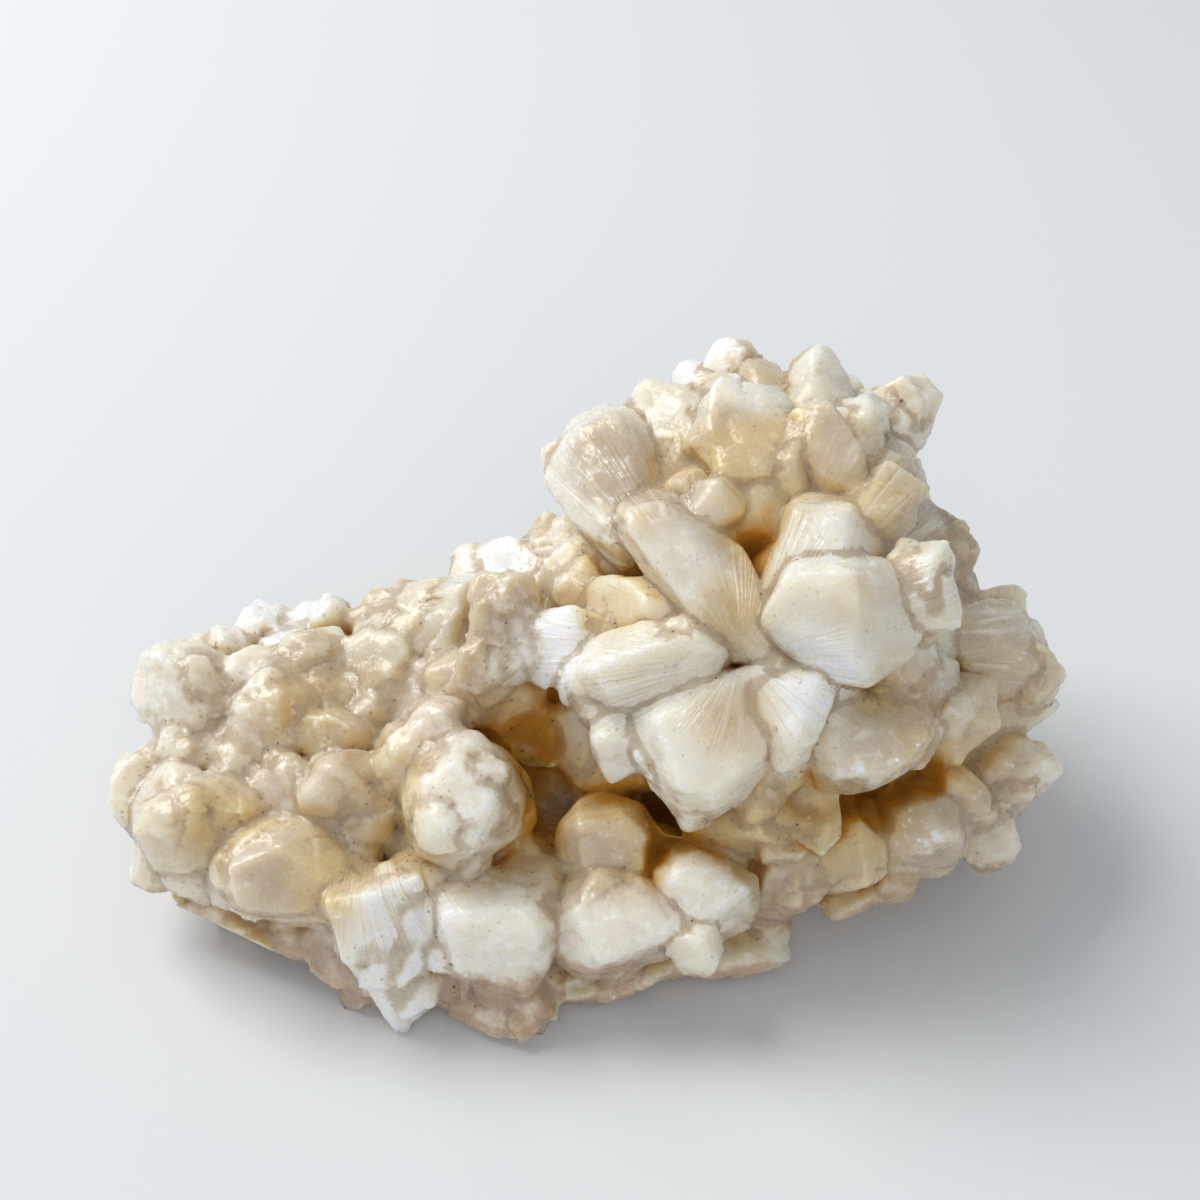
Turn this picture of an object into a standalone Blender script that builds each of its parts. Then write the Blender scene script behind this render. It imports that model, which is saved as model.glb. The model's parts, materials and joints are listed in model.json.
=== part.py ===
"""Stilbite cluster: blunt pearly crystals grown together over a broken crust, one solid.

Metres, +Z up. The cluster lies on the flat of its broken underside, its origin on the
surface below the middle of its box, +X along its length and -Y towards its display side.
"""
import math
import random

import bmesh
import bpy
from mathutils import Matrix, Vector
from mathutils.bvhtree import BVHTree

NAME = "stilbite_cluster"
MM = 0.001

# Waxy, translucent cream crystals.
COLOUR = (0.80, 0.68, 0.52, 1.0)
ROUGHNESS = 0.42
METALLIC = 0.0

# Display side: crystals are laid out as the front view shows them, in mm right of and above
# its middle, with `near` the mm by which they stand towards the viewer. The view looks down
# at the cluster by the tilt.
VIEW_DISTANCE = 120.0
VIEW_TILT = math.radians(40)
MIDDLE_HEIGHT = 19.0

# Crystal form: a blunt crown, the widest girth, and a root that narrows to the heart of its
# spray. Widths, rises and shifts are shares of the crystal's own size, least and most.
CROWN_SEED = 8
CROWN_WIDTH = (0.42, 0.70)
CROWN_RISE = (0.32, 0.52)
CROWN_TILT = 0.32
CROWN_SHIFT = 0.15
GIRTH_GROWN = 1.08
GIRTH_LEAN = 0.6
LEAST_OUTWARD = 0.5

# Crust: broken outline of the plate at the surface it lies on, at its widest and at its top,
# as (x, y) in mm.
FOOT_OUTLINE = (
    (-19, -9), (-14, -17), (-6, -16), (4, -14), (13, -11), (19, -5),
    (18, 4), (8, 8), (-8, 6), (-18, 3),
)
RIM_OUTLINE = (
    (-29, -6), (-22, -13), (-14, -18), (-6, -17.5), (4, -16), (13, -14), (21, -10),
    (27, -4), (26, 3), (20, 9), (8, 11), (-8, 9), (-20, 7), (-28, 1),
)
RIM_HEIGHT = 3.5
TOP_SHRINK = 0.85
TOP_HEIGHT = 6.0

# Mounds of the crust under the crystals: middle and radii in mm.
MOUNDS = {
    "left_mound": ((-15, -4, 3), (14, 11, 7.5)),
    "tower_core": ((12, 2, 14), (10, 9, 12)),
    "summit_back": ((12, 9, 19), (9, 7, 9)),
    "right_flank": ((20, 0, 9), (8, 9, 8)),
    "saddle": ((-4, 3, 7), (9, 7, 7)),
}

# Sprays of crystals: the heart that each radiates from as (x, y, z), and its crystals as
# (near, outline) or (near, outline, crown). An outline's points are (right, above) and a
# crown's are (right, above, near).
SPRAYS = {
    "summit": ((12, 4, 16), (
        (-1, ((13.0, 12.7), (13.3, 15.9), (14.3, 17.1), (16.1, 17.0), (16.9, 15.6), (17.2, 12.7),
            (16.4, 10.7), (14.3, 10.3))),
        (-3, ((9.5, 15.7), (10.7, 16.6), (12.1, 16.2), (13.3, 15.0), (13.5, 12.9), (12.0, 11.8),
            (10.0, 12.9))),
        (-6, ((5.0, 15.0), (6.0, 16.3), (8.0, 16.6), (9.6, 16.0), (9.8, 14.3), (7.7, 13.4),
            (5.5, 13.9))),
        (-1, ((2.1, 13.6), (3.3, 14.8), (6.0, 14.6), (7.5, 13.9), (7.1, 11.3), (5.9, 10.0),
            (3.2, 10.3), (2.1, 11.6))),
        (3, ((6.3, 10.7), (6.9, 13.0), (8.0, 14.4), (10.3, 14.8), (12.2, 14.2), (13.3, 12.9),
            (12.8, 10.4), (11.0, 8.6), (8.4, 8.3))),
        (4, ((10.9, 11.2), (12.2, 12.1), (13.9, 11.6), (14.4, 9.3), (13.4, 6.8), (11.6, 7.4),
            (10.7, 9.2))),
        (5, ((13.3, 13.0), (14.7, 13.4), (16.2, 11.7), (17.9, 8.7), (17.5, 7.6), (15.6, 8.2),
            (14.0, 9.8))),
        (5, ((8.0, 8.0), (9.7, 9.3), (12.0, 9.4), (13.1, 8.0), (12.6, 5.6), (11.3, 3.9), (9.7, 3.6),
            (8.3, 5.3))),
        (2, ((2.3, 8.1), (3.4, 9.7), (5.4, 10.1), (7.2, 8.7), (7.7, 6.5), (6.4, 5.3), (4.0, 5.6),
            (2.6, 6.5))),
        (3, ((14.0, 8.0), (14.8, 9.0), (16.1, 8.8), (16.7, 7.3), (16.0, 5.6), (14.3, 6.0))),
    )),
    "fan": ((6, 3, 13), (
        (0, ((-3.5, 8.2), (-3.2, 10.5), (-1.8, 12.4), (0.4, 13.5), (2.7, 13.2), (3.8, 11.2),
            (3.5, 7.8), (2.0, 4.5), (0.4, 3.9), (-2.0, 5.9)), ((-1.4, 11.6, 2.5), (1.0, 12.8, 2.0),
            (2.0, 10.9, 3.2), (0.0, 7.5, 3.2))),
        (-4, ((-5.1, 3.9), (-4.0, 5.6), (-1.8, 5.7), (-0.6, 4.0), (-1.1, 2.1), (-3.0, 1.4),
            (-4.8, 2.0))),
        (-6, ((-10.0, 2.1), (-8.7, 3.6), (-6.1, 4.2), (-4.6, 3.2), (-5.0, 1.6), (-7.4, 1.2),
            (-9.4, 1.3))),
        (-1, ((-1.2, 2.6), (-0.3, 4.3), (1.1, 4.0), (1.6, 2.6), (0.0, 1.9))),
        (0, ((-2.3, 0.7), (-0.7, 2.0), (1.5, 2.6), (1.8, 1.4), (-0.5, 0.4), (-2.0, 0.0))),
    )),
    "right_shoulder": ((14, 3, 14), (
        (-2, ((16.6, 13.2), (17.5, 14.4), (19.0, 13.9), (20.0, 12.9), (19.3, 11.5), (17.4, 11.3))),
        (-2, ((18.5, 12.4), (19.6, 13.5), (21.3, 14.2), (22.2, 13.2), (22.6, 11.8), (22.0, 10.7),
            (19.8, 10.6))),
        (1, ((16.7, 11.2), (18.4, 12.2), (20.4, 11.4), (21.8, 10.0), (21.9, 7.9), (21.0, 6.6),
            (19.0, 6.6), (17.5, 8.4))),
        (-2, ((18.7, 6.1), (20.3, 7.0), (22.6, 6.9), (24.1, 5.2), (24.4, 3.5), (22.6, 3.3),
            (20.2, 4.6))),
        (-3, ((22.3, 5.2), (23.3, 6.1), (25.1, 4.6), (25.7, 3.3), (25.0, 2.2), (23.3, 2.5),
            (22.3, 3.6))),
        (-2, ((21.0, 2.6), (22.3, 3.6), (24.7, 2.7), (25.7, 0.7), (25.0, -0.4), (23.0, -0.8),
            (21.3, 0.1))),
    )),
    "tower_face": ((11, -1, 14), (
        (7, ((11.0, 0.6), (12.0, 3.6), (13.1, 6.3), (14.4, 7.0), (16.8, 6.7), (18.6, 5.2),
            (19.8, 2.6), (18.0, 0.0), (13.3, -1.3)), ((13.3, 6.5, 9.5), (17.0, 6.6, 9.3),
            (16.7, 3.5, 11.5), (12.9, 3.5, 11.5))),
        (4, ((17.6, 5.6), (18.9, 5.9), (20.3, 4.0), (21.1, 1.6), (20.3, 0.6), (18.6, 2.6))),
        (11, ((11.9, 0.0), (13.4, 2.4), (16.0, 3.0), (19.3, 2.5), (21.4, 0.7), (22.1, -1.5),
            (21.2, -3.5), (18.1, -5.5), (15.6, -4.9), (12.7, -2.8), (11.4, -1.4)),
            ((12.7, 1.7, 14.0), (17.0, 2.0, 14.2), (17.6, 0.0, 14.5), (17.3, -4.2, 13.5),
            (13.6, -2.0, 13.5))),
        (7, ((1.2, 4.4), (1.5, 6.8), (3.7, 7.3), (5.6, 6.9), (9.5, 3.4), (11.4, -1.0), (10.5, -3.4),
            (8.7, -3.6), (5.1, 0.0)), ((1.9, 6.0, 8.8), (3.9, 6.7, 8.0), (9.4, 2.0, 8.2),
            (10.6, -1.5, 9.0), (8.7, -2.7, 10.0), (4.7, 1.4, 10.4), (2.0, 4.6, 9.9))),
        (4, ((-1.9, 0.1), (-0.7, 1.1), (1.7, 1.6), (4.2, 1.0), (6.0, -0.7), (5.8, -2.1), (2.6, -2.8),
            (-0.6, -3.6), (-1.9, -2.7))),
        (8, ((-2.8, -6.0), (-2.3, -4.3), (0.0, -2.7), (2.8, -1.8), (6.6, -2.3), (8.0, -3.6),
            (7.0, -5.2), (5.3, -6.4), (2.6, -7.5), (-0.4, -7.7), (-2.4, -7.1)), ((-0.7, -4.6, 10.8),
            (4.1, -2.9, 11.4), (7.0, -3.4, 10.4), (0.7, -6.4, 10.5))),
        (5, ((-6.0, -3.6), (-5.4, -1.6), (-3.7, -0.8), (-1.9, -0.7), (-1.7, -2.3), (-2.6, -4.7),
            (-3.7, -5.9), (-4.7, -5.2))),
        (7, ((7.0, -4.4), (7.8, -3.8), (10.3, -3.7), (11.0, -4.6), (9.7, -5.3), (7.0, -5.6))),
        (9, ((2.1, -8.0), (3.3, -7.0), (6.0, -5.7), (10.7, -4.8), (12.3, -6.7), (12.0, -9.3),
            (10.7, -11.8), (9.7, -13.3), (7.7, -14.7), (5.6, -14.6), (3.5, -12.3), (2.3, -10.0)),
            ((3.9, -8.2, 11.5), (10.7, -6.0, 10.5), (10.3, -11.0, 12.0), (7.8, -13.4, 12.5),
            (5.6, -13.0, 12.5))),
        (8, ((11.2, -3.3), (12.6, -3.0), (15.3, -4.4), (17.8, -6.0), (18.1, -7.0), (16.4, -7.5),
            (14.1, -7.8), (12.7, -6.4)), ((13.6, -4.0, 9.5), (16.8, -6.2, 10.5),
            (14.2, -6.7, 10.0))),
        (7, ((9.6, -13.4), (10.9, -10.7), (12.3, -7.7), (14.0, -7.8), (15.3, -9.0), (15.0, -11.7),
            (13.4, -13.4), (11.4, -15.4), (9.7, -15.3))),
        (4, ((5.7, -15.4), (8.0, -14.7), (10.7, -13.4), (13.4, -13.4), (13.7, -15.4), (12.6, -17.3),
            (9.3, -18.0), (6.7, -17.5))),
        (8, ((14.8, -7.7), (16.4, -7.1), (19.4, -7.0), (22.0, -6.8), (23.3, -9.0), (22.9, -10.4),
            (20.0, -12.1), (17.4, -13.3), (15.6, -12.9), (14.7, -10.9)), ((16.0, -8.3, 10.5),
            (22.2, -9.2, 10.0), (20.5, -11.2, 10.5), (16.3, -12.2, 10.5))),
        (6, ((18.7, -6.1), (20.1, -4.7), (22.7, -3.7), (24.6, -4.4), (25.0, -6.7), (24.3, -9.0),
            (22.3, -9.3), (19.6, -7.7))),
        (3, ((21.7, -2.7), (22.4, -0.8), (23.7, -1.0), (24.2, -2.6), (24.0, -4.4), (22.3, -4.4))),
    )),
    "right_end": ((17, 2, 7), (
        (0, ((23.9, -0.9), (26.6, 0.0), (29.0, -0.4), (30.4, -1.7), (30.7, -4.0), (29.7, -5.7),
            (27.7, -6.3), (25.3, -5.4), (24.1, -3.4))),
        (-3, ((23.7, -0.4), (26.0, 0.3), (28.4, 0.4), (29.4, -0.6), (28.0, -1.4), (25.3, -1.5))),
        (-2, ((25.0, -6.0), (26.7, -5.6), (28.8, -6.2), (30.2, -6.1), (30.0, -7.4), (28.7, -9.0),
            (26.7, -10.4), (25.0, -9.4))),
        (0, ((24.0, -9.3), (25.0, -8.3), (27.3, -9.0), (27.0, -10.4), (25.7, -11.7),
            (24.3, -11.0))),
        (0, ((26.0, -12.0), (26.7, -10.6), (28.3, -9.7), (30.0, -9.9), (30.7, -11.0), (30.0, -13.4),
            (28.7, -14.7), (26.7, -14.3))),
        (0, ((24.9, -15.4), (25.6, -14.0), (27.7, -14.3), (28.6, -16.3), (28.0, -18.0),
            (26.3, -18.6), (25.0, -17.6))),
        (3, ((19.0, -16.1), (19.7, -14.1), (21.7, -13.3), (24.0, -13.7), (25.2, -15.4),
            (25.0, -17.6), (23.7, -19.0), (21.3, -19.3), (19.7, -18.4))),
        (1, ((22.0, -12.7), (23.0, -11.5), (25.0, -11.7), (25.7, -13.4), (25.0, -14.7),
            (23.0, -14.4))),
        (4, ((14.4, -17.7), (15.4, -15.9), (17.4, -15.2), (19.0, -16.4), (19.5, -18.4),
            (18.0, -19.4), (16.0, -20.1), (14.7, -19.7))),
        (3, ((10.8, -19.4), (11.7, -17.0), (13.7, -16.5), (14.7, -18.0), (15.0, -20.3),
            (12.7, -21.7), (11.0, -21.7))),
        (1, ((14.7, -20.4), (17.4, -19.4), (19.7, -18.7), (21.4, -19.4), (19.4, -20.4),
            (16.7, -20.7))),
    )),
    "front_rim": ((0, -2, 3), (
        (1, ((-2.5, -9.4), (0.0, -8.7), (1.7, -9.7), (3.4, -11.4), (3.7, -12.7), (0.7, -12.9),
            (-1.4, -12.6), (-2.2, -11.4))),
        (-4, ((-4.7, -12.7), (-3.6, -11.0), (-1.6, -10.3), (0.0, -12.7), (-0.7, -15.0),
            (-3.4, -15.0))),
        (3, ((-2.8, -15.4), (-1.4, -13.9), (0.4, -13.4), (2.7, -14.1), (4.0, -16.0), (3.4, -18.7),
            (1.4, -19.5), (-1.6, -19.4), (-2.8, -18.0)), ((-1.4, -15.3, 5.8), (1.4, -14.5, 5.5),
            (3.4, -16.3, 5.8), (2.6, -18.8, 5.3), (-1.0, -18.8, 5.5))),
        (5, ((4.3, -18.7), (5.3, -17.4), (6.7, -17.3), (9.0, -18.1), (10.5, -19.0), (10.7, -21.4),
            (10.3, -22.4), (8.0, -23.0), (5.3, -22.4), (4.3, -20.7)), ((5.0, -19.0, 7.5),
            (8.2, -18.4, 7.0), (10.0, -19.8, 7.5), (6.8, -22.0, 7.3))),
        (6, ((-3.0, -22.0), (-2.0, -20.4), (0.0, -19.0), (2.7, -19.5), (4.7, -20.9), (6.4, -22.2),
            (6.6, -23.0), (4.0, -24.6), (1.3, -25.7), (-0.7, -26.0), (-2.7, -24.4)),
            ((-1.7, -20.9, 8.5), (3.1, -20.3, 8.0), (5.2, -22.4, 8.5), (0.0, -24.6, 8.5))),
        (6, ((-11.3, -22.0), (-10.7, -20.0), (-8.0, -19.7), (-4.7, -20.3), (-3.5, -22.0),
            (-3.9, -25.0), (-5.3, -27.0), (-7.3, -27.3), (-10.0, -25.7), (-11.2, -24.0)),
            ((-10.7, -21.5, 9.0), (-5.0, -20.9, 8.5), (-4.3, -22.8, 9.0), (-5.3, -26.4, 7.5),
            (-10.0, -25.2, 8.0))),
        (6, ((-16.6, -19.4), (-14.7, -18.1), (-12.7, -19.0), (-11.5, -21.4), (-12.0, -24.0),
            (-13.4, -26.6), (-15.0, -27.3), (-16.3, -24.0), (-16.7, -21.4)), ((-15.3, -19.7, 8.8),
            (-12.8, -21.4, 8.8), (-13.6, -26.3, 7.5), (-16.0, -24.3, 7.5))),
        (4, ((-17.3, -25.7), (-15.3, -25.0), (-12.3, -25.7), (-11.3, -27.3), (-12.7, -29.0),
            (-14.3, -28.8), (-16.0, -27.5))),
        (4, ((-20.6, -22.4), (-17.3, -21.0), (-16.3, -23.3), (-15.7, -25.7), (-17.0, -26.0),
            (-19.3, -24.7))),
        (4, ((-12.4, -25.7), (-10.0, -25.7), (-6.7, -27.3), (-4.0, -27.0), (-3.0, -28.3),
            (-6.0, -28.7), (-10.0, -27.7), (-11.7, -27.3))),
        (3, ((-4.0, -26.0), (-0.7, -26.0), (2.7, -25.0), (6.0, -24.0), (3.3, -26.0), (0.7, -27.5),
            (-2.7, -28.3))),
        (1, ((3.3, -25.0), (6.7, -23.3), (10.7, -22.0), (12.7, -22.0), (10.0, -24.3), (7.3, -25.7),
            (4.0, -25.9))),
        (2, ((-8.4, -18.4), (-7.0, -16.7), (-5.0, -16.3), (-3.4, -17.7), (-3.7, -19.7),
            (-6.0, -20.4), (-8.0, -19.7))),
        (1, ((-12.0, -19.0), (-10.7, -17.7), (-8.4, -18.0), (-8.0, -19.7), (-10.0, -20.0),
            (-11.7, -19.7))),
    )),
    "left_front": ((-15, -2, 2), (
        (6, ((-13.0, -13.4), (-12.0, -11.0), (-10.4, -9.5), (-8.4, -9.4), (-6.3, -11.4),
            (-5.4, -13.4), (-5.7, -15.7), (-7.4, -17.0), (-10.0, -17.7), (-12.0, -16.7)),
            ((-11.9, -12.2, 9.0), (-9.9, -11.2, 9.2), (-7.4, -13.4, 9.5), (-8.6, -16.3, 9.3),
            (-11.6, -15.6, 9.5))),
        (3, ((-8.0, -9.7), (-6.4, -10.4), (-5.0, -12.4), (-4.4, -15.0), (-5.4, -16.7), (-7.0, -16.7),
            (-8.0, -13.0))),
        (4, ((-20.0, -12.7), (-19.4, -11.0), (-17.0, -10.4), (-14.7, -11.0), (-13.7, -13.4),
            (-14.7, -16.0), (-16.7, -18.0), (-18.4, -17.0), (-19.4, -15.4))),
        (3, ((-24.0, -12.7), (-23.0, -11.2), (-21.0, -10.7), (-19.6, -12.4), (-19.3, -14.4),
            (-20.7, -15.7), (-23.0, -15.0))),
        (5, ((-26.5, -19.3), (-26.0, -17.3), (-24.4, -15.7), (-22.0, -15.2), (-19.4, -15.7),
            (-17.0, -17.7), (-16.6, -20.0), (-18.0, -21.7), (-20.7, -22.0), (-24.0, -21.7),
            (-26.4, -20.8)), ((-25.3, -18.2, 8.2), (-21.8, -16.8, 8.7), (-18.7, -19.0, 8.4),
            (-20.4, -21.2, 8.0), (-24.5, -20.7, 8.0))),
        (2, ((-32.0, -17.4), (-30.7, -16.0), (-27.4, -15.2), (-25.7, -16.4), (-26.0, -18.7),
            (-26.7, -20.4), (-29.4, -20.0), (-31.4, -19.0))),
        (2, ((-33.0, -14.4), (-32.0, -12.4), (-29.4, -11.4), (-26.0, -12.4), (-24.0, -14.0),
            (-25.0, -16.0), (-28.0, -16.4), (-31.4, -16.7), (-32.8, -16.0))),
        (1, ((-29.4, -20.4), (-26.4, -21.0), (-23.4, -22.0), (-24.0, -23.7), (-25.7, -23.4),
            (-28.0, -22.0))),
        (2, ((-25.7, -22.0), (-22.0, -21.7), (-19.4, -22.4), (-18.0, -24.4), (-20.0, -24.9),
            (-23.4, -24.4))),
        (2, ((-15.3, -9.7), (-14.4, -8.6), (-12.4, -8.7), (-11.7, -10.4), (-12.4, -12.4),
            (-13.7, -12.7), (-15.0, -11.4))),
        (3, ((-14.7, -15.7), (-13.0, -14.7), (-11.7, -15.7), (-11.9, -17.9), (-13.4, -18.7),
            (-15.3, -17.7))),
    )),
    "left_back": ((-17, 4, -3), (
        (1, ((-26.7, -10.7), (-25.7, -9.0), (-23.4, -8.7), (-20.7, -9.7), (-21.0, -11.0),
            (-23.4, -12.0), (-25.7, -12.4))),
        (1, ((-22.7, -8.7), (-20.7, -7.7), (-17.4, -7.7), (-15.4, -9.0), (-16.0, -10.7),
            (-18.7, -11.0), (-21.4, -10.4))),
        (-1, ((-23.7, -6.7), (-22.0, -5.7), (-18.7, -5.4), (-16.7, -6.4), (-17.0, -8.0),
            (-20.7, -8.2), (-23.4, -8.0))),
        (0, ((-18.0, -6.0), (-16.4, -5.4), (-14.4, -6.6), (-14.2, -8.4), (-16.0, -9.0),
            (-17.7, -8.0))),
        (0, ((-14.2, -7.0), (-13.4, -5.7), (-11.4, -5.4), (-10.0, -6.4), (-9.4, -8.4), (-10.4, -9.7),
            (-12.7, -9.4), (-14.0, -8.4))),
        (-1, ((-32.2, -6.7), (-32.0, -4.4), (-30.4, -3.0), (-27.4, -3.0), (-26.0, -4.7),
            (-26.4, -7.4), (-27.0, -8.6), (-30.0, -8.7), (-31.7, -8.2))),
        (-5, ((-28.0, -3.0), (-26.7, -2.0), (-25.0, -2.1), (-24.0, -3.7), (-25.4, -4.4),
            (-27.0, -4.2))),
        (0, ((-31.7, -10.7), (-30.4, -9.0), (-27.4, -8.8), (-26.0, -9.7), (-26.4, -11.4),
            (-28.7, -11.7), (-31.0, -12.0))),
        (-1, ((-26.4, -6.0), (-25.7, -4.0), (-23.4, -3.0), (-21.0, -3.7), (-20.7, -5.0),
            (-22.4, -6.0), (-24.7, -6.7))),
        (-7, ((-24.0, -3.7), (-22.4, -1.0), (-20.0, 0.0), (-18.7, -0.4), (-19.0, -2.4),
            (-20.7, -3.4), (-22.7, -3.7))),
        (-6, ((-19.7, -0.4), (-18.4, 0.2), (-17.0, -0.2), (-17.4, -1.7), (-19.0, -2.0))),
        (-2, ((-21.4, -4.0), (-20.7, -2.5), (-18.0, -2.1), (-16.4, -3.4), (-16.7, -5.4),
            (-19.4, -6.0), (-21.0, -5.4))),
        (-1, ((-17.4, -2.7), (-16.0, -1.9), (-13.7, -2.7), (-12.7, -4.4), (-13.4, -6.4),
            (-15.4, -6.7), (-16.7, -5.0))),
        (-5, ((-17.0, -1.0), (-16.0, 0.4), (-13.4, 1.2), (-11.4, 0.7), (-11.7, -1.4), (-13.7, -2.4),
            (-16.0, -2.0))),
        (-3, ((-12.7, -2.7), (-12.4, 0.0), (-10.0, 1.4), (-7.4, 1.4), (-6.0, -0.4), (-6.4, -2.7),
            (-8.0, -4.0), (-10.7, -4.4))),
        (-1, ((-12.4, -4.4), (-10.0, -3.7), (-6.7, -3.7), (-4.7, -5.0), (-3.7, -6.4), (-6.0, -7.0),
            (-9.4, -6.7), (-11.4, -6.0))),
        (-1, ((-9.0, -7.0), (-6.0, -6.7), (-3.0, -6.7), (-2.7, -8.4), (-3.7, -9.4), (-6.7, -9.7),
            (-8.7, -9.0))),
        (-3, ((-7.0, 0.0), (-6.0, 1.7), (-3.4, 2.0), (-1.7, 1.0), (-2.0, -0.7), (-4.7, -1.0),
            (-6.4, -1.4))),
    )),
}

# Crystals of the back, which the front view doesn't show: how far apart, the least and most
# girth, where the crown and the girth stand above the surface and how far the root goes in,
# in mm. The girth is longer one way than the other. They lie in the directions from around
# the back's middle that span `BACK_TURN`, in half turns from +X, and `BACK_RISE`.
BACK_SEED = 7
BACK_TRIES = 12000
BACK_SPACING = 6.0
BACK_GIRTH = (2.6, 4.0)
BACK_SIDES = 6
BACK_CROWN_RISE = 2.2
BACK_GIRTH_RISE = 0.9
BACK_ROOT = 4.0
BACK_TILT = 0.3
BACK_CROWN_WIDTH = 0.68
GIRTH_LONG = 1.25
GIRTH_SHORT = 0.85
LOWEST_BACK = 2.5
BACK_MIDDLE = (0, 0, 10)
BACK_REACH = 26
BACK_UP_DOWN = 6
BACK_TURN = (-0.15, 1.15)
BACK_RISE = (-0.1, 0.9)
FAR_OFF = 100

# The crust alone touches the surface that the cluster rests on. Each crystal that would reach
# lower is broken off a little above it, at a height in mm between these.
BREAK_HEIGHTS = (0.15, 0.7)


def seen(x, up, near):
    """The point that the front view shows `x` right of and `up` above its middle, in mm."""
    spread = 1 - near / VIEW_DISTANCE
    rise = up * spread
    back = rise * math.sin(VIEW_TILT) - near * math.cos(VIEW_TILT)
    height = MIDDLE_HEIGHT + rise * math.cos(VIEW_TILT) + near * math.sin(VIEW_TILT)
    return Vector((x * spread, back, height))


def view_axes():
    """The front view's own right, up and towards-the-viewer directions."""
    sine, cosine = math.sin(VIEW_TILT), math.cos(VIEW_TILT)
    return Vector((1, 0, 0)), Vector((0, sine, cosine)), Vector((0, -cosine, sine))


def new_collection(name):
    collection = bpy.data.collections.new(name)
    bpy.context.scene.collection.children.link(collection)
    return collection


def object_from(shape, name, collection):
    """The bmesh `shape`, in mm, as an object in metres."""
    bmesh.ops.scale(shape, vec=(MM, MM, MM), verts=shape.verts)
    mesh = bpy.data.meshes.new(name)
    shape.to_mesh(mesh)
    shape.free()
    body = bpy.data.objects.new(name, mesh)
    collection.objects.link(body)
    return body


def hull(name, points, collection):
    """A flat-faced convex body round the points."""
    shape = bmesh.new()
    for point in points:
        shape.verts.new(point)
    made = bmesh.ops.convex_hull(shape, input=shape.verts)
    inside = [v for v in made["geom_interior"] if isinstance(v, bmesh.types.BMVert)]
    bmesh.ops.delete(shape, geom=inside, context="VERTS")
    bmesh.ops.recalc_face_normals(shape, faces=shape.faces)
    return object_from(shape, name, collection)


def broken_off(points, height):
    """The points, with each one that lies below `height` raised to it."""
    return [Vector((p[0], p[1], max(p[2], height))) for p in points]


def mound(name, middle, radii, height, collection):
    shape = bmesh.new()
    bmesh.ops.create_icosphere(shape, subdivisions=2, radius=1.0)
    bmesh.ops.scale(shape, vec=radii, verts=shape.verts)
    bmesh.ops.translate(shape, vec=middle, verts=shape.verts)
    corners = [vert.co.copy() for vert in shape.verts]
    shape.free()
    return hull(name, broken_off(corners, height), collection)


def crust_plate(collection):
    points = [(x, y, 0.0) for x, y in FOOT_OUTLINE]
    points += [(x, y, RIM_HEIGHT) for x, y in RIM_OUTLINE]
    points += [(x * TOP_SHRINK, y * TOP_SHRINK, TOP_HEIGHT) for x, y in RIM_OUTLINE]
    return hull("crust_plate", points, collection)


def crystal(name, near, outline, crown, heart, rng, collection):
    """A crystal whose girth shows as `outline` in the front view and whose root is at `heart`.

    Its blunt end has the corners `crown`, or where there are none a smaller copy of the girth.
    """
    right, up, towards = view_axes()
    girth = [seen(x, y, near) for x, y in outline]
    middle = sum(girth, Vector()) / len(girth)
    outward = (middle - heart).normalized()
    lean = GIRTH_LEAN / max(outward.dot(towards), LEAST_OUTWARD)
    size = sum((corner - middle).length for corner in girth) / len(girth)
    width = rng.uniform(*CROWN_WIDTH)
    rise = rng.uniform(*CROWN_RISE)
    tilt = right * rng.uniform(-CROWN_TILT, CROWN_TILT) + up * rng.uniform(-CROWN_TILT, CROWN_TILT)
    shift = right * rng.uniform(-CROWN_SHIFT, CROWN_SHIFT) + up * rng.uniform(-CROWN_SHIFT, CROWN_SHIFT)
    points = [heart]
    for corner in girth:
        across = (corner - middle) * GIRTH_GROWN
        slope = -lean * (outward.dot(right) * across.dot(right) + outward.dot(up) * across.dot(up))
        across += towards * slope
        points.append(middle + across)
        if crown:
            continue
        risen = outward * (rise * size + tilt.dot(across))
        points.append(middle + across * width + shift * size + risen)
    points += [seen(*corner) for corner in crown]
    return hull(name, broken_off(points, rng.uniform(*BREAK_HEIGHTS)), collection)


def back_crystal(spot, outward, girth, turn):
    """Corners of a crystal that stands at `spot` on the surface, along `outward`, in mm."""
    side = outward.orthogonal().normalized()
    over = outward.cross(side)
    corners = [spot - outward * BACK_ROOT]
    for i in range(BACK_SIDES):
        angle = turn + math.tau * i / BACK_SIDES
        across = side * math.cos(angle) * GIRTH_LONG + over * math.sin(angle) * GIRTH_SHORT
        corners.append(spot + across * girth + outward * BACK_GIRTH_RISE)
        corners.append(spot + across * girth * BACK_CROWN_WIDTH + outward * BACK_CROWN_RISE)
    return corners


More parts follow.
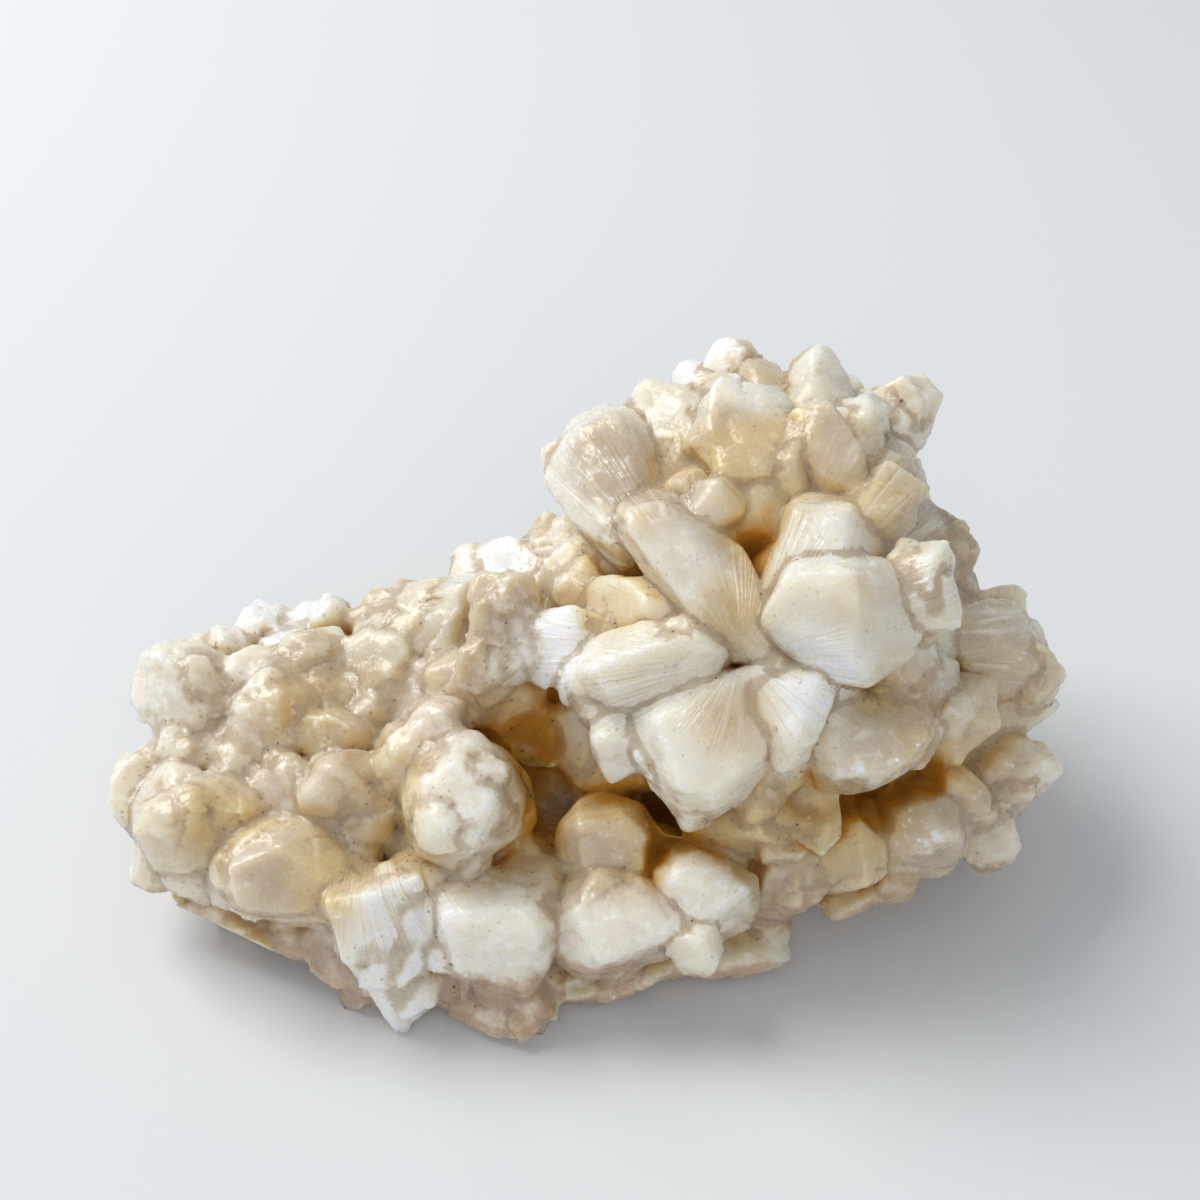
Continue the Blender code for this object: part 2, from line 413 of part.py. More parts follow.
def back_crystals(base, collection):
    """Crystals all over the back of the mesh `base`, each roughly square to its surface."""
    rng = random.Random(BACK_SEED)
    towards = view_axes()[2]
    shape = bmesh.new()
    shape.from_mesh(base)
    tree = BVHTree.FromBMesh(shape)
    shape.free()
    far = FAR_OFF * MM
    placed = []
    for _ in range(BACK_TRIES):
        around = rng.uniform(*BACK_TURN) * math.pi
        way = Vector((math.cos(around), math.sin(around), rng.uniform(*BACK_RISE))).normalized()
        across, rise = rng.uniform(-BACK_REACH, BACK_REACH), rng.uniform(-BACK_UP_DOWN, BACK_UP_DOWN)
        off_middle = Vector((across, 0, rise))
        tilt = Vector([rng.uniform(-BACK_TILT, BACK_TILT) for _ in range(3)])
        girth = rng.uniform(*BACK_GIRTH)
        turn = rng.uniform(0, math.tau)
        aim = (Vector(BACK_MIDDLE) + off_middle) * MM
        spot, normal, _, _ = tree.ray_cast(aim + way * far, -way)
        if spot is None or normal.dot(towards) > 0 or spot.z < LOWEST_BACK * MM:
            continue
        if any((spot - other).length < BACK_SPACING * MM for other in placed):
            continue
        outward = (normal + tilt).normalized()
        corners = broken_off(back_crystal(spot / MM, outward, girth, turn), BREAK_HEIGHTS[0])
        hidden = [tree.ray_cast(c * MM + towards * far, -towards)[0] for c in corners]
        if all(hidden):
            placed.append(spot)
            hull(f"back_{len(placed)}", corners, collection)


def combined(name, first, others, collection):
    """A new object, `first` united with everything in the collection `others`."""
    boolean = first.modifiers.new("grown together", "BOOLEAN")
    boolean.operation = "UNION"
    boolean.operand_type = "COLLECTION"
    boolean.collection = others
    graph = bpy.context.evaluated_depsgraph_get()
    mesh = bpy.data.meshes.new_from_object(first.evaluated_get(graph))
    first.modifiers.remove(boolean)
    mesh.name = name
    body = bpy.data.objects.new(name, mesh)
    collection.objects.link(body)
    return body


def connected(first):
    """All the vertices that edges join to the vertex `first`."""
    found = {first}
    edge = {first}
    while edge:
        edge = {e.other_vert(v) for v in edge for e in v.link_edges} - found
        found |= edge
    return found


def fill_gaps_inside(mesh):
    """Removes the walls of the gaps that crystals have closed over: all but the outer shell."""
    shape = bmesh.new()
    shape.from_mesh(mesh)
    outermost = max(shape.verts, key=lambda v: v.co.z)
    outer = connected(outermost)
    inner = [v for v in shape.verts if v not in outer]
    bmesh.ops.delete(shape, geom=inner, context="VERTS")
    shape.to_mesh(mesh)
    shape.free()


def stand_on_origin(mesh):
    """Moves the mesh so that the middle of the bottom of its box is at the origin."""
    low = Vector([min(v.co[i] for v in mesh.vertices) for i in range(3)])
    high = Vector([max(v.co[i] for v in mesh.vertices) for i in range(3)])
    middle = (low + high) / 2
    mesh.transform(Matrix.Translation((-middle.x, -middle.y, -low.z)))


def waxy_crystal():
    material = bpy.data.materials.new("waxy crystal")
    material.use_nodes = True
    shader = material.node_tree.nodes["Principled BSDF"]
    shader.inputs["Base Color"].default_value = COLOUR
    shader.inputs["Roughness"].default_value = ROUGHNESS
    shader.inputs["Metallic"].default_value = METALLIC
    return material


def main():
    for old in list(bpy.data.objects):
        bpy.data.objects.remove(old)
    stages = new_collection("stages of growth")
    crystals = new_collection("mounds and crystals")
    rng = random.Random(CROWN_SEED)
    plate = crust_plate(stages)
    for name, (middle, radii) in MOUNDS.items():
        mound(name, middle, radii, rng.uniform(*BREAK_HEIGHTS), crystals)
    for spray, (heart, shapes) in SPRAYS.items():
        for number, (near, outline, *crown) in enumerate(shapes, 1):
            corners = crown[0] if crown else ()
            crystal(f"{spray}_{number}", near, outline, corners, Vector(heart), rng, crystals)
    front = combined("front", plate, crystals, stages)
    back_crystals(front.data, crystals)
    cluster = combined(NAME, plate, crystals, new_collection("stilbite cluster"))
    fill_gaps_inside(cluster.data)
    stand_on_origin(cluster.data)
    cluster.data.materials.append(waxy_crystal())
    for collection in (stages, crystals):
        for helper in collection.objects:
            helper.hide_render = True
            helper.display_type = "WIRE"


main()
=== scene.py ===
import json
import math
import random

import bmesh
import bpy
import numpy as np
from mathutils import Matrix, Vector
from mathutils.bvhtree import BVHTree
from mathutils.kdtree import KDTree

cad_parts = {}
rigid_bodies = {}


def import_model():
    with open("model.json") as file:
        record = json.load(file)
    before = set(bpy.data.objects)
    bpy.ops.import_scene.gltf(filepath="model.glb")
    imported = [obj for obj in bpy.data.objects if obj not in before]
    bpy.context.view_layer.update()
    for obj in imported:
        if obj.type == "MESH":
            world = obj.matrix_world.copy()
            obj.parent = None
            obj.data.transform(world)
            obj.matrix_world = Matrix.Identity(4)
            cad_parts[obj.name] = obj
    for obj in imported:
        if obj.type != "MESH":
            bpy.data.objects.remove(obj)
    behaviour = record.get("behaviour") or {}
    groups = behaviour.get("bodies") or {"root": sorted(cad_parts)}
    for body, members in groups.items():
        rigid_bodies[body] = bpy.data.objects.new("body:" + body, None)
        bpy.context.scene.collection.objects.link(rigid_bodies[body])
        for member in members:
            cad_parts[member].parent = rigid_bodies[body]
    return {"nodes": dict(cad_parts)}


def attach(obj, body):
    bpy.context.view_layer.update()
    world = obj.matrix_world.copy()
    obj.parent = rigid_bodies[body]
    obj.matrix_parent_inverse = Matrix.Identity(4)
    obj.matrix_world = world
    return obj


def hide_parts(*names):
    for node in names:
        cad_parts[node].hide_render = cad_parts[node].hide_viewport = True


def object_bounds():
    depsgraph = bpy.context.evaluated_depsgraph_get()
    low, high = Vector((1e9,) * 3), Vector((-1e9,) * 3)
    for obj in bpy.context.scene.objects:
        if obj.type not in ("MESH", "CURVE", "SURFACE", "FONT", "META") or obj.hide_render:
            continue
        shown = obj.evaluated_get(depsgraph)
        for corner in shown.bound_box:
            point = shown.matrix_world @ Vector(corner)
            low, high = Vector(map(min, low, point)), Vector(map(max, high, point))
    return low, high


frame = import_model()
cad_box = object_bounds()

# The display view. The cluster lies on the flat of its broken underside and is looked down
# on from its display side. Places on it are given as (right, above): millimetres from the
# middle of this view, as they are seen.
MM = 0.001
VIEW_TILT = math.radians(40)
VIEW_DISTANCE = 120 * MM
VIEW_MIDDLE = Vector((0.38, 2.72, 19.0)) * MM
VIEW_WIDTH = 1200 / 14.7 * MM
SENSOR_MM = 36.0

RIGHT = Vector((1, 0, 0))
ABOVE = Vector((0, math.sin(VIEW_TILT), math.cos(VIEW_TILT)))
TOWARDS = Vector((0, -math.cos(VIEW_TILT), math.sin(VIEW_TILT)))

camera_data = bpy.data.cameras.new("camera")
camera_data.sensor_width = SENSOR_MM
camera_data.lens = SENSOR_MM * VIEW_DISTANCE / VIEW_WIDTH
camera_data.clip_start = MM
camera = bpy.data.objects.new("camera", camera_data)
camera.location = VIEW_MIDDLE + TOWARDS * VIEW_DISTANCE
camera.rotation_euler = (math.pi / 2 - VIEW_TILT, 0, 0)
bpy.context.scene.collection.objects.link(camera)
bpy.context.scene.camera = camera


# The large crystals. Blunt stilbite crystals, grown together over a broken crust into one
# natural piece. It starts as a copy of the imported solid, merged into one closed surface.
def alone(piece):
    """Selects the piece and nothing else, and makes it the active one."""
    bpy.ops.object.select_all(action="DESELECT")
    piece.select_set(True)
    bpy.context.view_layer.objects.active = piece


def add_modifier(piece, kind, **settings):
    """Adds a modifier with these settings and applies it."""
    modifier = piece.modifiers.new(kind.lower(), kind)
    for name, value in settings.items():
        setattr(modifier, name, value)
    alone(piece)
    bpy.ops.object.modifier_apply(modifier=modifier.name)


def corners_of(mesh):
    """The mesh's vertices as an array, one row each."""
    flat = np.empty(len(mesh.vertices) * 3)
    mesh.vertices.foreach_get("co", flat)
    return flat.reshape(-1, 3)


def surface_of(mesh):
    """The mesh as a tree that rays can be cast at."""
    shape = bmesh.new()
    shape.from_mesh(mesh)
    tree = BVHTree.FromBMesh(shape)
    shape.free()
    return tree


def number_crystals(mesh):
    """Numbers the crystals of the mesh: grooves part them, and ridges lie within one."""
    shape = bmesh.new()
    shape.from_mesh(mesh)
    numbers = [-1] * len(shape.faces)
    count = 0
    for first in shape.faces:
        if numbers[first.index] >= 0:
            continue
        numbers[first.index] = count
        reached = [first]
        while reached:
            for edge in reached.pop().edges:
                if edge.calc_face_angle_signed(0) < -GROOVE:
                    continue
                for face in edge.link_faces:
                    if numbers[face.index] < 0:
                        numbers[face.index] = count
                        reached.append(face)
        count += 1
    shape.free()
    mesh.attributes.new("crystal", "INT", "FACE").data.foreach_set("value", numbers)
    return count


MERGE = 0.01 * MM
GROOVE = math.radians(1)

cluster = bpy.data.objects.new("stilbite", frame["nodes"]["stilbite_cluster"].data.copy())
bpy.context.scene.collection.objects.link(cluster)
alone(cluster)
bpy.ops.object.mode_set(mode="EDIT")
bpy.ops.mesh.select_all(action="SELECT")
bpy.ops.mesh.remove_doubles(threshold=MERGE)
bpy.ops.object.mode_set(mode="OBJECT")
crystal_count = number_crystals(cluster.data)
print("crystals", crystal_count)


# The small crystals. Younger crystals fill the gaps between the large ones, thin scales lie
# on the lumps of the left end, and thick ones cover the back. Three forms are modelled, and
# each is copied many times, root down in the surface.
SMALL_SIDES = 6
SMALL_ROOT = 1.3
SMALL_FORMS = {  # flatness across, crown width, crown rise, crown lean
    "plate": (0.70, 0.72, 0.20, 0.10),
    "block": (0.90, 0.62, 0.32, -0.12),
    "wedge": (0.78, 0.55, 0.36, 0.20),
    "point": (0.66, 0.14, 1.90, 0.10),
}
COMMON_FORMS = ("plate", "block", "wedge")
SMALL_SEED = 5
EDGE_ROOM = 0.3 * MM

# How each kind grows: tries, spacing, least and most radius in mm, least and most stand
# above the surface as a share of the radius, and lean.
GROWTHS = {
    "between": (9000, 3.2, (1.4, 2.8), (-0.40, 0.0), 0.20),
    "scales": (3000, 3.2, (1.6, 3.0), (-0.22, -0.12), 0.34),
    "back": (6000, 3.6, (1.8, 3.4), (-0.10, 0.25), 0.35),
}
BACK_FACING = -0.2
BACK_LOWEST = 6 * MM
BLOCKED_BETWEEN = (0.62, 0.95)
SCALES_FROM = -3 * MM

# Faces of the large crystals that carry no small ones, and hollows that stay open:
# (right, above, radius).
BARE_FACES = {
    "upper petal": (5.4, 3.2, 4.2),
    "upper petal tip": (9.2, -1.2, 3.0),
    "upper petal shoulder": (2.8, 5.6, 2.6),
    "back block": (15.2, 4.8, 3.6),
    "front block": (16.6, -1.2, 5.0),
    "bean": (1.8, -4.8, 3.6),
    "arch": (1.6, 0.2, 2.4),
    "white wedge": (-4.0, -3.4, 2.6),
    "fibrous crystal": (14.6, -5.4, 2.6),
    "lower petal": (6.6, -9.6, 5.0),
    "lower petal top": (9.4, -7.4, 3.0),
    "fan": (0.6, 9.0, 4.6),
    "fan rim": (-1.6, 7.4, 3.0),
    "fan side": (-2.6, 9.8, 3.4),
    "fan top": (0.4, 12.6, 3.0),
    "grey crystal": (-0.4, -11.2, 2.4),
    "peak": (15.0, 14.0, 2.2),
    "summit lump": (9.8, 11.6, 3.2),
    "summit side": (15.8, 9.8, 2.4),
    "summit front": (10.6, 6.8, 2.4),
    "shoulder fan": (19.6, 9.4, 2.4),
    "right fan": (27.0, -3.0, 3.0),
    "scaly lump": (19.0, -9.8, 3.0),
    "tan lump": (10.2, -15.6, 2.6),
    "rough lump": (0.6, -16.4, 2.6),
    "round lump": (22.4, -16.2, 2.6),
    "right shoulder": (22.4, 5.0, 2.6),
    "second shoulder": (23.2, 1.2, 2.8),
    "rim block": (-7.6, -23.2, 3.2),
    "rim middle": (2.0, -22.2, 3.0),
    "rim right": (7.4, -20.2, 2.6),
    "left ridge": (-21.8, -18.8, 3.2),
    "rim point": (-14.2, -22.6, 2.6),
    "open hollow": (16.6, -13.6, 3.0),
    "left hollow": (-5.4, -9.8, 2.2),
    "lower hollow": (-5.0, -13.6, 2.0),
    "hollow floor": (0.9, -13.4, 2.2),
    "front hollow": (4.4, -16.8, 2.0),
}

# Crystals of the places where one shows by itself: form, (right, above, towards the eye) and
# the way that it points, the same three, and its radius in mm.
SINGLE_CRYSTALS = {
    "rim point": ("point", (-14.8, -23.4, 6.4), (0.13, -0.94, -0.32), 3.5),
    "roof of the left hollow": ("block", (-6.4, -7.0, 1.2), (0.1, -0.35, 0.9), 3.2),
    "saddle": ("plate", (-9.2, -6.2, 1.8), (-0.1, -0.2, 1.0), 3.2),
}
RAY_REACH = 8 * MM
RAY_START = 0.15 * MM
RAY_COUNT = 14


def small_crystal(name, flatness, crown_width, crown_rise, lean):
    """A blunt crystal of radius 1 mm, its girth at the origin and its crown up +Z."""
    bpy.ops.object.select_all(action="DESELECT")
    bpy.ops.mesh.primitive_cylinder_add(
        vertices=SMALL_SIDES, radius=MM, depth=SMALL_ROOT * MM, end_fill_type="NGON",
        location=(0, 0, -SMALL_ROOT * MM / 2),
    )
    made = bpy.context.active_object
    made.name = name
    bpy.ops.object.mode_set(mode="EDIT")
    bpy.ops.transform.resize(value=(1, flatness, 1), center_override=(0, 0, 0))
    shape = bmesh.from_edit_mesh(made.data)
    for face in shape.faces:
        face.select_set(face.normal.z > 0.9)
    bpy.ops.mesh.extrude_region_move(TRANSFORM_OT_translate={"value": (lean * MM, 0, crown_rise * MM)})
    bpy.ops.transform.resize(value=(crown_width, crown_width, 1))
    bpy.ops.object.mode_set(mode="OBJECT")
    made.data.transform(made.matrix_world)
    made.matrix_world = Matrix.Identity(4)
    return made


def place_seen(tree, right, above):
    """The point of the surface that shows at this place of the display view."""
    eye = VIEW_MIDDLE + TOWARDS * VIEW_DISTANCE
    shown = VIEW_MIDDLE + (RIGHT * right + ABOVE * above) * MM
    return tree.ray_cast(eye, (shown - eye).normalized())[0]


def in_view(right, above, near):
    """The direction that is this far right, above and towards the eye in the display view."""
    return RIGHT * right + ABOVE * above + TOWARDS * near


def spots_over(mesh, tries, rng):
    """Random points spread evenly over the mesh, each with its triangle's normal."""
    mesh.calc_loop_triangles()
    triangles = mesh.loop_triangles
    areas = [triangle.area for triangle in triangles]
    for triangle in rng.choices(triangles, weights=areas, k=tries):
        a, b, c = (mesh.vertices[i].co for i in triangle.vertices)
        u, v = sorted((rng.random(), rng.random()))
        yield a * u + b * (v - u) + c * (1 - v), triangle.normal.copy()


def ray_fan(count):
    """Directions spread evenly over the half sphere about +Z."""
    fan = []
    for i in range(count):
        lift = math.sqrt((i + 0.5) / count)
        across = math.sqrt(1 - lift * lift)
        angle = i * math.pi * (3 - math.sqrt(5))
        fan.append(Vector((across * math.cos(angle), across * math.sin(angle), lift)))
    return fan


def look_out(tree, spot, normal, fan):
    """The share of the fan's rays that soon meet the surface, and the way that is most open."""
    turn = normal.to_track_quat("Z", "Y").to_matrix()
    start = spot + normal * RAY_START
    blocked = 0.0
    opening = Vector()
    for way in fan:
        out = turn @ way
        distance = tree.ray_cast(start, out, RAY_REACH)[3]
        if distance is None:
            opening += out
        else:
            blocked += 1 - 0.5 * distance / RAY_REACH
    return blocked / len(fan), (opening + normal * 0.01).normalized()


def grow(form, radius, middle, outward, turn):
    """A copy of the form with this radius and middle, its crown pointing outwards."""
    copy = form.copy()
    copy.data = form.data.copy()
    bpy.context.scene.collection.objects.link(copy)
    facing = Matrix.Translation(middle) @ outward.to_track_quat("Z", "Y").to_matrix().to_4x4()
    size = Matrix.Scale(radius / MM, 4)
    copy.data.transform(facing @ Matrix.Rotation(turn, 4, "Z") @ size)
    return copy


solid = surface_of(cluster.data)
fan = ray_fan(RAY_COUNT)
bare = [(place_seen(solid, x, y), radius * MM) for x, y, radius in BARE_FACES.values()]
bare = [(place, radius) for place, radius in bare if place]
rng = random.Random(SMALL_SEED)
forms = {name: small_crystal(name, *form) for name, form in SMALL_FORMS.items()}
common_forms = [forms[name] for name in COMMON_FORMS]
low, high = (corner.copy() for corner in cad_box)
placed = []
copies = []
for kind, (tries, spacing, radii, stands, leaning) in GROWTHS.items():
    for spot, normal in spots_over(cluster.data, tries, rng):
        radius = rng.triangular(*radii, radii[0]) * MM
        lean = Vector([rng.uniform(-leaning, leaning) for _ in range(3)])
        turn = rng.uniform(0, math.tau)
        stand = rng.uniform(*stands)
        form = rng.choice(common_forms)
        if kind == "scales" and spot.x > SCALES_FROM:
            continue
        if kind == "back" and (normal.dot(TOWARDS) > BACK_FACING or spot.z < BACK_LOWEST):
            continue
        if any((spot - place).length < reach for place, reach in bare):
            continue
        if any((spot - other).length < spacing * MM for other in placed):
            continue
        blocked, opening = look_out(solid, spot, normal, fan)
        if kind == "between" and not BLOCKED_BETWEEN[0] < blocked < BLOCKED_BETWEEN[1]:
            continue
        if kind != "between" and blocked > BLOCKED_BETWEEN[0]:
            continue
        outward = ((opening if kind == "between" else normal) + lean).normalized()
        top = spot + outward * radius * max(stand, 0.3)
        if kind == "back" and solid.ray_cast(top, TOWARDS)[0] is None:
            continue
        room = radius * 0.8 + EDGE_ROOM
        if any(top[i] - room < low[i] or top[i] + room > high[i] for i in range(3)):
            continue
        placed.append(spot)
        copies.append(grow(form, radius, spot + outward * radius * stand, outward, turn))
    print(kind, len(placed))
for name, (form, seen, way, radius) in SINGLE_CRYSTALS.items():
    shrink = 1 - seen[2] * MM / VIEW_DISTANCE
    middle = VIEW_MIDDLE + in_view(seen[0] * shrink, seen[1] * shrink, seen[2]) * MM
    copies.append(grow(forms[form], radius * MM, middle, in_view(*way).normalized(), 0))
for number, copy in enumerate(copies, crystal_count):
    numbers = copy.data.attributes.new("crystal", "INT", "FACE")
    numbers.data.foreach_set("value", [number] * len(copy.data.polygons))
crystal_count += len(copies)
for form in forms.values():
    bpy.data.objects.remove(form)

alone(cluster)
for copy in copies:
    copy.select_set(True)
bpy.ops.object.join()

# Growth fuses all of it. The joined shapes become one skin, their edges wear round, and the
# surface gets its lumps, scales and broken crust.
SKIN_GRAIN = 0.22 * MM
MOST_TRIANGLES = 198000

grown = surface_of(cluster.data)
crystal_of_face = np.empty(len(cluster.data.polygons), int)
cluster.data.attributes["crystal"].data.foreach_get("value", crystal_of_face)
add_modifier(cluster, "REMESH", mode="VOXEL", voxel_size=SKIN_GRAIN, adaptivity=0.0)
heights = corners_of(cluster.data)[:, 2]
top = int(heights.argmax())
alone(cluster)
bpy.ops.object.mode_set(mode="EDIT")
bpy.ops.mesh.select_mode(type="VERT")
bpy.ops.mesh.select_all(action="DESELECT")
shape = bmesh.from_edit_mesh(cluster.data)
shape.verts.ensure_lookup_table()
shape.verts[top].select_set(True)
bpy.ops.mesh.select_linked()
bpy.ops.mesh.select_all(action="INVERT")
bpy.ops.mesh.delete(type="VERT")
bpy.ops.object.mode_set(mode="OBJECT")
print("voxels", len(cluster.data.vertices))
add_modifier(cluster, "SMOOTH", factor=0.5, iterations=3)
add_modifier(cluster, "DISPLACE", strength=0.12 * MM, mid_level=0.0)


def displaced(piece, texture_kind, grain, strength, middle=0.5, group="", **settings):
    """Raises and sinks the surface along its normals by a procedural texture."""
    texture = bpy.data.textures.new(texture_kind.lower(), texture_kind)
    texture.noise_scale = grain
    for name, value in settings.items():
        setattr(texture, name, value)
    add_modifier(
        piece, "DISPLACE", texture=texture, texture_coords="LOCAL", strength=strength,
        mid_level=middle, vertex_group=group,
    )


def normals_of(mesh):
    flat = np.empty(len(mesh.vertices) * 3)
    mesh.vertices.foreach_get("normal", flat)
    return flat.reshape(-1, 3)


def edges_of(mesh):
    flat = np.empty(len(mesh.edges) * 2, int)
    mesh.edges.foreach_get("vertices", flat)
    return flat.reshape(-1, 2)


def neighbour_mean(values, edges, rounds=1):
    """Each vertex's value averaged with those of its neighbours, several times over."""
    ends = edges.T.ravel()
    others = edges[:, ::-1].T.ravel()
    count = np.bincount(ends, minlength=len(values))
    columns = values.reshape(len(values), -1).T
    for _ in range(rounds):
        totals = [np.bincount(ends, column[others], len(values)) for column in columns]
        columns = [(column + total / count) / 2 for column, total in zip(columns, totals)]
    return np.array(columns).T.reshape(values.shape)


def fill_grooves(piece, rounds, keep_open):
    """Raises the grooves between the crystals, as growth fills them, and leaves the ridges."""
    edges = edges_of(piece.data)
    points = corners_of(piece.data)
    for done in range(rounds):
        if done % GROOVE_TURNS == 0:
            normals = normals_of(piece.data)
        rise = neighbour_mean(points, edges) - points
        rising = ((rise * normals).sum(axis=1) > 0) * (1 - keep_open)
        points = points + rise * rising[:, None] * 2
        if done % GROOVE_TURNS == GROOVE_TURNS - 1:
            piece.data.vertices.foreach_set("co", points.ravel())
            piece.data.update()


def faceted(piece, cell, rise, tilt, share):
    """Swells the surface into small blunt faces, each tilted its own way, with creases between."""
    rng = np.random.default_rng(FACET_SEED)
    seeds = rng.uniform(np.array(low), np.array(high), (int(box_volume / cell**3), 3))
    tilts = rng.uniform(-tilt, tilt, (len(seeds), 3))
    tree = KDTree(len(seeds))
    for i, seed in enumerate(seeds):
        tree.insert(seed, i)
    tree.balance()
    points = corners_of(piece.data)
    found = [tree.find(point)[1:] for point in points]
    nearest, away = (np.array(column) for column in zip(*found))
    step = ((points - seeds[nearest]) * tilts[nearest]).sum(axis=1)
    step = (step + rise * (0.25 - np.minimum(away / cell, 0.8) ** 2)) * share
    piece.data.vertices.foreach_set("co", (points + normals_of(piece.data) * step[:, None]).ravel())
    piece.data.update()


def bareness(points):
    """How far each point belongs to a large bare crystal, from 0 to 1."""
    found = np.zeros(len(points))
    for place, radius in bare:
        away = np.linalg.norm(points - np.array(place), axis=1) / radius
        found = np.maximum(found, np.clip(1.6 - away, 0, 1))
    return found


# Hollows between the crystals that go deeper, as (right, above, radius, depth) in mm.
HOLLOWS = (
    (14.8, -14.0, 4.4, 3.2), (18.6, -13.4, 3.4, 3.0), (21.2, -12.4, 2.4, 2.2),
    (-4.6, -9.8, 2.4, 2.2), (-5.2, -12.6, 2.2, 2.4), (4.0, -14.2, 2.2, 2.2),
    (4.6, -16.8, 2.0, 2.4), (0.6, -13.6, 2.2, 1.6), (10.4, 3.2, 1.6, 1.6),
)


def sink_hollows(piece):
    """Sinks the hollows, and gives how far each vertex lies in one, from 0 to 1."""
    points = corners_of(piece.data)
    tree = surface_of(piece.data)
    inside = np.zeros(len(points))
    for right, above, radius, depth in HOLLOWS:
        place = np.array(place_seen(tree, right, above))
        away = np.linalg.norm(points - place, axis=1) / (radius * MM)
        sunk = depth * MM * np.clip(1 - away**2, 0, 1) ** 1.5
        points -= np.array(TOWARDS) * sunk[:, None]
        inside = np.maximum(inside, np.clip(2.6 - 1.6 * away, 0, 1))
    piece.data.vertices.foreach_set("co", points.ravel())
    piece.data.update()
    return inside


FACET_SEED = 11
GROOVE_ROUNDS = 28
GROOVE_TURNS = 10
FUSED_LEFT_OF = -4 * MM
FUSED_FADE = 3 * MM
FUSED_ROUNDS = 60
RIM_FROM = np.array((-32.6, -19.0)) * MM
RIM_TO = np.array((-20.3, -24.8)) * MM
box_volume = math.prod(high - low)
in_hollow = sink_hollows(cluster)
fill_grooves(cluster, GROOVE_ROUNDS, in_hollow)
points = corners_of(cluster.data)
tower = np.clip((points[:, 0] - FUSED_LEFT_OF) / FUSED_FADE, 0, 1)
fill_grooves(cluster, FUSED_ROUNDS, np.maximum(in_hollow, tower))
rough = (1 - 0.75 * bareness(corners_of(cluster.data))) * (1 - 0.7 * in_hollow)
faceted(cluster, 3.2 * MM, 0.55 * MM, 0.08, rough)
faceted(cluster, 1.3 * MM, 0.15 * MM, 0.06, rough)
displaced(cluster, "CLOUDS", 3.0 * MM, 0.16 * MM, noise_depth=1)
triangles = sum(len(face.vertices) - 2 for face in cluster.data.polygons)
add_modifier(cluster, "DECIMATE", ratio=min(1, MOST_TRIANGLES / triangles))

points = corners_of(cluster.data)
off_middle = points - np.array(VIEW_MIDDLE)
shrink = 1 - off_middle @ np.array(TOWARDS) / VIEW_DISTANCE
seen = np.column_stack((off_middle @ np.array(RIGHT), off_middle @ np.array(ABOVE)))
seen /= shrink[:, None]
rim_way = (RIM_TO - RIM_FROM) / np.linalg.norm(RIM_TO - RIM_FROM)
inwards = np.array((-rim_way[1], rim_way[0]))
beyond = np.clip((RIM_FROM - seen) @ inwards, 0, None) * shrink * (seen[:, 0] < RIM_TO[0])
points += beyond[:, None] * (inwards[0] * np.array(RIGHT) + inwards[1] * np.array(ABOVE))
points = np.clip(points, np.array(low), np.array(high))
cluster.data.vertices.foreach_set("co", points.ravel())
cluster.data.update()
alone(cluster)
bpy.ops.object.shade_smooth()
print("triangles", sum(len(face.vertices) - 2 for face in cluster.data.polygons))


